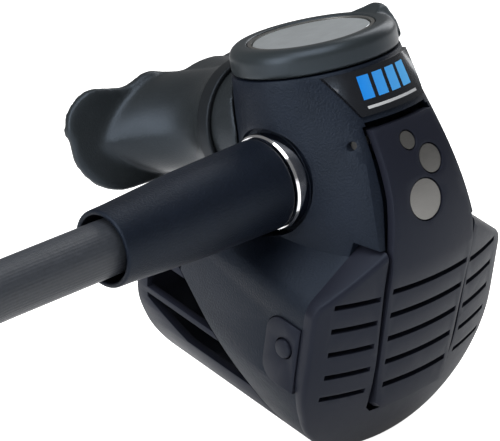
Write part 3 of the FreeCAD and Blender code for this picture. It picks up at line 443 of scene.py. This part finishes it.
def build_finishes(context):
    """Make every finish and mark its material with the finish's key, for finish_of."""
    made = {**moulded_finishes(context), **metal_finishes(context), "hose_rubber": hose_finish(context)}
    for key, finish in made.items():
        finish.material["finish"] = key


def finish_of(key):
    """The material of a finish."""
    for material in bpy.data.materials:
        if material.get("finish") == key:
            return material
    raise RuntimeError(f"no finish is named {key}")


# ---------------------------------------------------------------- mesh helpers


def to_object(bm, name, finish, body, node, smooth=40.0):
    """A piece made from a bmesh, standing for one CAD node."""
    mesh = bpy.data.meshes.new(name)
    bm.to_mesh(mesh)
    bm.free()
    mesh.shade_smooth()
    if smooth < 180:
        mesh.set_sharp_from_angle(angle=math.radians(smooth))
    dress(bpy.data.objects.new(name, mesh), finish, body, (node,))


def dress(piece, finish, body, nodes):
    """Link a new piece, give it its finish and its body, and hide the CAD nodes that it stands for."""
    bpy.context.scene.collection.objects.link(piece)
    piece.data.materials.append(finish_of(finish))
    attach(piece, body)
    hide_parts(*nodes)


SPIN_STEPS = 96  # faces round a turned piece


def spun(profile, direction, start):
    """A bmesh turned from a closed profile of (along, radius) points about a line."""
    bm = bmesh.new()
    axis = Vector(direction).normalized()
    side = axis.orthogonal().normalized()
    points = [bm.verts.new(start + axis * (along * MM) + side * (radius * MM)) for along, radius in profile]
    edges = [bm.edges.new((a, b)) for a, b in zip(points, points[1:] + points[:1])]
    bmesh.ops.spin(
        bm, geom=points + edges, cent=start, axis=axis, angle=2 * math.pi, steps=SPIN_STEPS, use_merge=True
    )
    bmesh.ops.remove_doubles(bm, verts=bm.verts[:], dist=MERGE)
    bmesh.ops.dissolve_degenerate(bm, edges=bm.edges[:], dist=MERGE / 10)
    bmesh.ops.recalc_face_normals(bm, faces=bm.faces[:])
    return bm


LONGEST_SHARE = 0.49  # of an edge that the rounding of one of its corners may take


def rounded_profile(corners, steps):
    """A closed profile of (along, radius) points, from corners whose third value is their rounding."""
    points = []
    count = len(corners)
    for k, (x, y, radius) in enumerate(corners):
        here = Vector((x, y))
        before = Vector(corners[k - 1][:2]) - here
        after = Vector(corners[(k + 1) % count][:2]) - here
        half = before.angle(after) / 2
        reach = min(radius / math.tan(half), before.length * LONGEST_SHARE, after.length * LONGEST_SHARE)
        first, last = here + before.normalized() * reach, here + after.normalized() * reach
        for step in range(steps + 1):
            t = step / steps
            bend = first * (1 - t) ** 2 + here * 2 * t * (1 - t) + last * t**2
            points.append((bend.x, bend.y))
    return points


def copied(node):
    """A bmesh of a CAD node whose loose triangles are joined."""
    bm = bmesh.new()
    bm.from_mesh(frame["nodes"][node].data)
    bmesh.ops.remove_doubles(bm, verts=bm.verts[:], dist=MERGE)
    return bm


FLAT = math.radians(0.5)  # faces that meet at less than this become one
CRISP = math.radians(32)  # edges that turn by more than this are bevelled


def bevelled(node, width):
    """A bmesh of a CAD node whose crisp edges are rounded off."""
    bm = copied(node)
    bmesh.ops.dissolve_limit(bm, angle_limit=FLAT, verts=bm.verts[:], edges=bm.edges[:], delimit={"SHARP"})
    sharp = [edge for edge in bm.edges if edge.is_manifold and edge.calc_face_angle(0) > CRISP]
    bmesh.ops.bevel(
        bm,
        geom=sharp,
        offset=width,
        offset_type="OFFSET",
        affect="EDGES",
        segments=2,
        profile=0.5,
        material=-1,
        clamp_overlap=True,
        loop_slide=True,
    )
    bmesh.ops.triangulate(bm, faces=bm.faces[:])
    return bm


def softened(node, cell, passes):
    """A bmesh of a CAD node, remeshed in small cells and relaxed, so that its edges are rounded."""
    joined = copied(node)
    mesh = bpy.data.meshes.new(node + " copy")
    joined.to_mesh(mesh)
    joined.free()
    copy = bpy.data.objects.new(node + " copy", mesh)
    bpy.context.scene.collection.objects.link(copy)
    remesh = copy.modifiers.new("Cells", "REMESH")
    remesh.mode = "VOXEL"
    remesh.voxel_size = cell
    bpy.context.view_layer.update()
    evaluated = copy.evaluated_get(bpy.context.evaluated_depsgraph_get())
    bm = bmesh.new()
    bm.from_mesh(evaluated.to_mesh())
    evaluated.to_mesh_clear()
    bpy.data.objects.remove(copy)
    for _ in range(passes):
        bmesh.ops.smooth_vert(
            bm, verts=bm.verts[:], factor=0.5, use_axis_x=True, use_axis_y=True, use_axis_z=True
        )
    return bm


# ---------------------------------------------------------------- shells


class REGULATOR_OT_finishes(Operator):
    """Build every finish and give each CAD node its own"""

    bl_idname = "regulator.finishes"
    bl_label = "Finishes"

    # nodes whose finish isn't that of their material slot
    OWN = {"knob_disc": "disc_metal", "knob_bezel": "knob_plastic", "mouthpiece_clamp": "band_plastic"}

    def execute(self, context):
        build_finishes(context)
        for name, slot in SLOTS.items():
            mesh = frame["nodes"][name].data
            mesh.materials.clear()
            mesh.materials.append(finish_of(self.OWN.get(name, slot)))
        return {"FINISHED"}


class REGULATOR_OT_shells(Operator):
    """Round the edges of the shells, the knob and the mouthpiece"""

    bl_idname = "regulator.shells"
    bl_label = "Shells"

    # node, finish, body, width of its bevels in mm
    BEVELLED = (
        ("main_case", "case_plastic", "root", 0.45),
        ("front_cover", "cover_plastic", "root", 0.40),
        ("exhaust_deflector", "cover_plastic", "root", 0.40),
        ("latch_plate", "cover_plastic", "root", 0.25),
        ("purge_panel", "cover_plastic", "purge", 0.30),
        ("release_button", "cover_plastic", "button", 0.30),
    )
    # node, finish, body, its cells as a share of the setting, how often it is relaxed
    SOFTENED = (
        ("knob_bezel", "knob_plastic", "knob", 0.5, 2),
        ("mouthpiece", "soft_rubber", "root", 0.8, 12),
        ("mouthpiece_clamp", "band_plastic", "root", 0.6, 2),
    )

    def execute(self, context):
        for node, finish, body, width in self.BEVELLED:
            to_object(bevelled(node, width * MM), node + "_shell", finish, body, node)
        cell = context.scene.regulator_shell.cell
        for node, finish, body, share, passes in self.SOFTENED:
            bm = softened(node, cell * share, passes)
            to_object(bm, node + "_shell", finish, body, node, smooth=180)
        return {"FINISHED"}


class REGULATOR_OT_sleeve(Operator):
    """Turn the grip sleeve over the hose's first stretch, with a rolled lip at its open end"""

    bl_idname = "regulator.sleeve"
    bl_label = "Hose sleeve"

    # distance from the hub along the hose, radius and rounding of each corner, in mm
    CORNERS = (
        (22.6, 8.4, 0.5),
        (22.6, 10.7, 1.0),
        (46.0, 10.25, 60.0),
        (66.0, 9.1, 30.0),
        (70.9, 8.95, 1.3),
        (70.9, 7.7, 0.8),
        (62.0, 7.6, 1.0),
        (62.0, 8.3, 0.4),
        (40.0, 8.4, 0.5),
    )

    def execute(self, context):
        bm = spun(rounded_profile(self.CORNERS, steps=6), (-1, 0, 0), HUB)
        to_object(bm, "grip_sleeve", "case_plastic", "root", "hose_sleeve", smooth=60)
        return {"FINISHED"}


# ---------------------------------------------------------------- hose

# Points of the hose from the sleeve to its coil, in metres from the floor under the hub.
ROUTE = [
    (-0.056, 0.0, 0.0688),
    (-0.069, 0.0, 0.0688),
    (-0.131, 0.0, 0.0688),
    (-0.166, -0.0222, 0.0248),
    (-0.1985, -0.0428, 0.00645),
    (-0.228, -0.0585, 0.00645),
]


class REGULATOR_OT_hose(Operator):
    """Lay the hose along its route and wind the rest of it into a coil"""

    bl_idname = "regulator.hose"
    bl_label = "Hose"

    YAW = math.radians(28)  # how far the hose has turned to the front where it meets its coil
    TURNED = 430  # degrees of the coil
    STEP = 22.5  # degrees between its points
    CLIMB_FROM, CLIMB_OVER = 292, 56  # degrees: where the hose climbs onto its first turn
    CLIMB = 1.09  # height of the upper turn above the first, in diameters of the hose
    END_AXIS = Vector((-0.52992, 0.84805, 0))  # out of the hose's end, into its fitting

    def coil(self, radius, thickness):
        """Points of the coil: one turn on the floor, then part of a turn that climbs onto it."""
        x, y, z = ROUTE[-1]
        centre = Vector((x - radius * math.sin(self.YAW), y + radius * math.cos(self.YAW), z))
        first = math.degrees(self.YAW) - 90
        # the spline runs a little inside its points
        reach = radius / math.cos(math.radians(self.STEP / 2)) ** 0.5
        points = []
        angle = self.STEP * 0.75
        while angle < self.TURNED - self.STEP / 2:
            climb = min(max((angle - self.CLIMB_FROM) / self.CLIMB_OVER, 0), 1)
            height = thickness * (climb * climb * (3 - 2 * climb)) * self.CLIMB
            at = math.radians(first - angle)
            points.append(centre + Vector((math.cos(at) * reach, math.sin(at) * reach, height)))
            angle += self.STEP
        return points

    def end_of(self, ferrule):
        """The middle of the ferrule's face that meets the hose."""
        ring = [vertex.co.copy() for vertex in ferrule.data.vertices]
        lowest = min(self.END_AXIS.dot(point) for point in ring)
        face = [point for point in ring if self.END_AXIS.dot(point) - lowest < 10 * MERGE]
        return sum(face, Vector()) / len(face)

    def execute(self, context):
        settings = context.scene.regulator_hose
        thickness = settings.radius * 2
        origin = Vector((HUB.x, HUB.y, 0))
        points = [origin + Vector(p) for p in ROUTE]
        points += [origin + p for p in self.coil(settings.coil_radius, thickness)]
        points.append(self.end_of(frame["nodes"]["end_ferrule"]))
        line = bpy.data.curves.new("hose", "CURVE")
        line.dimensions = "3D"
        spline = line.splines.new("NURBS")
        spline.points.add(len(points) - 1)
        for point, where in zip(spline.points, points):
            point.co = (*where, 1)
        spline.order_u = 3
        spline.use_endpoint_u = True
        spline.resolution_u = 12
        line.bevel_depth = settings.radius
        line.bevel_resolution = 8
        line.use_fill_caps = True
        hose = bpy.data.objects.new("hose", line)
        dress(hose, "hose_rubber", "root", ("hose_tube", "hose_coil"))
        return {"FINISHED"}


# ---------------------------------------------------------------- stage


class REGULATOR_OT_stage(Operator):
    """Set up the paper floor, the lamps and the camera"""

    bl_idname = "regulator.stage"
    bl_label = "Stage"

    AZIMUTH, ELEVATION, ROLL = (math.radians(a) for a in (-39.55, 13.71, 11.42))
    CAMERA = (-513.50, -587.25, 179.04)
    LENS = 251.3
    SENSOR = 36
    NEAREST = 0.05  # metres from the camera

    # lamp, place, width and height in metres, setting that holds its power, share of that power
    LAMPS = (
        ("key", (-230, -260, 640), (0.6, 0.6), "key_power", 1.0),
        ("left fill", (-620, 40, 260), (0.35, 0.6), "fill_power", 1.5),
        ("right rim", (520, 120, 330), (0.3, 0.6), "fill_power", 0.7),
    )
    LAMPS_FACE = (0, 0, -20)
    SKY = 0.2
    FLOOR_HALF = 6.0  # metres
    MIRRORED = 0.35  # how bright the paper is where glossy pieces mirror it

    def paper(self, colour):
        """White paper that is seen evenly white, and mirrored less brightly."""
        material = bpy.data.materials.new("white paper")
        material.use_nodes = True
        nodes, links = material.node_tree.nodes, material.node_tree.links
        shader = nodes["Principled BSDF"]
        shader.inputs["Base Color"].default_value = (*colour, 1)
        shader.inputs["Roughness"].default_value = 0.9
        path = nodes.new("ShaderNodeLightPath")
        mirrored = nodes.new("ShaderNodeMath")
        mirrored.operation = "MULTIPLY"
        mirrored.inputs[1].default_value = self.MIRRORED
        links.new(path.outputs["Is Glossy Ray"], mirrored.inputs[0])
        glow = nodes.new("ShaderNodeMath")
        glow.operation = "MAXIMUM"
        links.new(path.outputs["Is Camera Ray"], glow.inputs[0])
        links.new(mirrored.outputs[0], glow.inputs[1])
        shader.inputs["Emission Color"].default_value = (1, 1, 1, 1)
        links.new(glow.outputs[0], shader.inputs["Emission Strength"])
        return material

    def floor(self, context):
        """The paper that the regulator stands on."""
        bm = bmesh.new()
        bmesh.ops.create_grid(bm, x_segments=1, y_segments=1, size=self.FLOOR_HALF)
        mesh = bpy.data.meshes.new("floor")
        bm.to_mesh(mesh)
        bm.free()
        mesh.materials.append(self.paper(context.scene.regulator_stage.floor_colour))
        floor = bpy.data.objects.new("floor", mesh)
        context.scene.collection.objects.link(floor)

    def lamp(self, context, name, at, size, power):
        """A rectangular lamp that faces the regulator."""
        light = bpy.data.lights.new(name, "AREA")
        light.shape = "RECTANGLE"
        light.size, light.size_y = size
        light.energy = power
        lamp = bpy.data.objects.new(name, light)
        lamp.location = place(*at)
        facing = place(*self.LAMPS_FACE) - lamp.location
        lamp.rotation_euler = facing.to_track_quat("-Z", "Y").to_euler()
        context.scene.collection.objects.link(lamp)

    def camera(self, context):
        """The camera, turned by its azimuth and elevation and rolled about its own line of sight."""
        azimuth, elevation, roll = self.AZIMUTH, self.ELEVATION, self.ROLL
        level = Vector((math.cos(azimuth), math.sin(azimuth), 0))
        away = Vector((math.sin(azimuth), -math.cos(azimuth), 0))
        back = away * math.cos(elevation) + Vector((0, 0, math.sin(elevation)))
        up = back.cross(level)
        right = level * math.cos(roll) - up * math.sin(roll)
        tall = up * math.cos(roll) + level * math.sin(roll)
        data = bpy.data.cameras.new("camera")
        data.lens = self.LENS
        data.sensor_width = self.SENSOR
        data.clip_start = self.NEAREST
        camera = bpy.data.objects.new("camera", data)
        turn = Matrix((right, tall, back)).transposed().to_4x4()
        camera.matrix_world = Matrix.Translation(place(*self.CAMERA)) @ turn
        context.scene.collection.objects.link(camera)
        context.scene.camera = camera

    def execute(self, context):
        settings = context.scene.regulator_stage
        self.floor(context)
        for name, at, size, power, share in self.LAMPS:
            self.lamp(context, name, at, size, share * getattr(settings, power))
        self.camera(context)
        scene = context.scene
        scene.view_settings.view_transform = "Standard"
        world = scene.world or bpy.data.worlds.new("studio")
        scene.world = world
        world.use_nodes = True
        sky = world.node_tree.nodes["Background"]
        sky.inputs["Color"].default_value = (1, 1, 1, 1)
        sky.inputs["Strength"].default_value = self.SKY
        return {"FINISHED"}


# ---------------------------------------------------------------- panel and start

OPERATORS = (
    REGULATOR_OT_finishes,
    REGULATOR_OT_shells,
    REGULATOR_OT_sleeve,
    REGULATOR_OT_hose,
    REGULATOR_OT_stage,
)


class REGULATOR_PT_panel(Panel):
    bl_label = "Scuba second stage"
    bl_idname = "REGULATOR_PT_panel"
    bl_space_type = "VIEW_3D"
    bl_region_type = "UI"
    bl_category = "Regulator"

    def draw(self, context):
        for name in SETTINGS:
            box = self.layout.box()
            settings = getattr(context.scene, name)
            for key in settings.__annotations__:
                box.prop(settings, key)
        for operator in OPERATORS:
            self.layout.operator(operator.bl_idname)


CLASSES = (*SETTINGS.values(), *OPERATORS, REGULATOR_PT_panel)


def register():
    for cls in CLASSES:
        bpy.utils.register_class(cls)
    for name, cls in SETTINGS.items():
        setattr(bpy.types.Scene, name, PointerProperty(type=cls))


def unregister():
    for name in SETTINGS:
        delattr(bpy.types.Scene, name)
    for cls in reversed(CLASSES):
        bpy.utils.unregister_class(cls)


def main():
    register()
    for operator in OPERATORS:
        group, name = operator.bl_idname.split(".")
        getattr(getattr(bpy.ops, group), name)()


if __name__ == "__main__":
    main()
